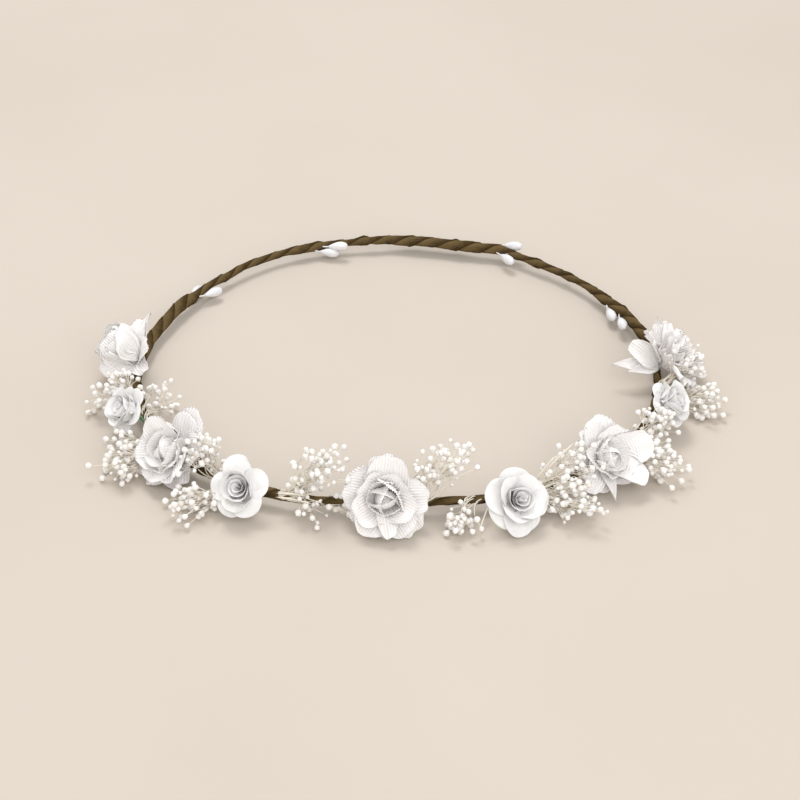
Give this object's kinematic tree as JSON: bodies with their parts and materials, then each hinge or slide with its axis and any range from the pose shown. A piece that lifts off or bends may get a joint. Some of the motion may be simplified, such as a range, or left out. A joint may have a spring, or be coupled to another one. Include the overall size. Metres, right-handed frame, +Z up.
{
  "type": "flower crown",
  "caption": "Bent wire ring bound in brown florist's tape, dressed round its front with white ribbon flowers, paper roses and baby's breath, and at the back with pips.",
  "frame": {"origin": "on the table, under the middle of the crown's bounding box", "axes": "+X towards the wearer's left, +Y towards the back of the head, +Z up, with the ring lying level"},
  "size_m": [0.2292, 0.1848, 0.0304],
  "materials": {
    "wire": "satin",
    "florist_tape": "matte waxed crepe paper",
    "ribbon": "fine ribbed ribbon, slightly translucent",
    "mulberry_paper": "matte handmade paper",
    "green_stem": "matte paper-covered wire",
    "white_stem": "matte paper-covered wire",
    "dried_floret": "matte, dried",
    "pip": "satin lacquer"
  },
  "bodies": {
    "root": {"ring_wire": "wire", "tape_right": "florist_tape", "tape_front": "florist_tape", "tape_left": "florist_tape", "splice_tape": "florist_tape", "ribbon_flower_1_outer_petals": "ribbon", "ribbon_flower_1_inner_petals": "ribbon", "ribbon_flower_1_centre": "ribbon", "ribbon_flower_1_stem": "white_stem", "ribbon_flower_1_binding": "florist_tape", "rose_1_petals": "mulberry_paper", "rose_1_bud": "mulberry_paper", "rose_1_stem": "green_stem", "rose_1_binding": "florist_tape", "ribbon_flower_2_outer_petals": "ribbon", "ribbon_flower_2_inner_petals": "ribbon", "ribbon_flower_2_centre": "ribbon", "ribbon_flower_2_stem": "white_stem", "ribbon_flower_2_binding": "florist_tape", "rose_2_petals": "mulberry_paper", "rose_2_bud": "mulberry_paper", "rose_2_stem": "green_stem", "rose_2_binding": "florist_tape", "ribbon_flower_3_outer_petals": "ribbon", "ribbon_flower_3_inner_petals": "ribbon", "ribbon_flower_3_centre": "ribbon", "ribbon_flower_3_stem": "white_stem", "ribbon_flower_3_binding": "florist_tape", "rose_3_petals": "mulberry_paper", "rose_3_bud": "mulberry_paper", "rose_3_stem": "green_stem", "rose_3_binding": "florist_tape", "ribbon_flower_4_outer_petals": "ribbon", "ribbon_flower_4_inner_petals": "ribbon", "ribbon_flower_4_centre": "ribbon", "ribbon_flower_4_stem": "white_stem", "ribbon_flower_4_binding": "florist_tape", "rose_4_petals": "mulberry_paper", "rose_4_bud": "mulberry_paper", "rose_4_stem": "green_stem", "rose_4_binding": "florist_tape", "ribbon_flower_5_outer_petals": "ribbon", "ribbon_flower_5_inner_petals": "ribbon", "ribbon_flower_5_centre": "ribbon", "ribbon_flower_5_stem": "white_stem", "ribbon_flower_5_binding": "florist_tape", "sprig_1": "dried_floret", "sprig_2": "dried_floret", "sprig_3": "dried_floret", "sprig_4": "dried_floret", "sprig_5": "dried_floret", "sprig_6": "dried_floret", "sprig_7": "dried_floret", "sprig_8": "dried_floret", "pips_1": "pip", "pips_2": "pip", "pips_2_binding": "florist_tape", "pips_3": "pip", "pips_4": "pip", "pips_4_binding": "florist_tape"}
  },
  "joints": []
}
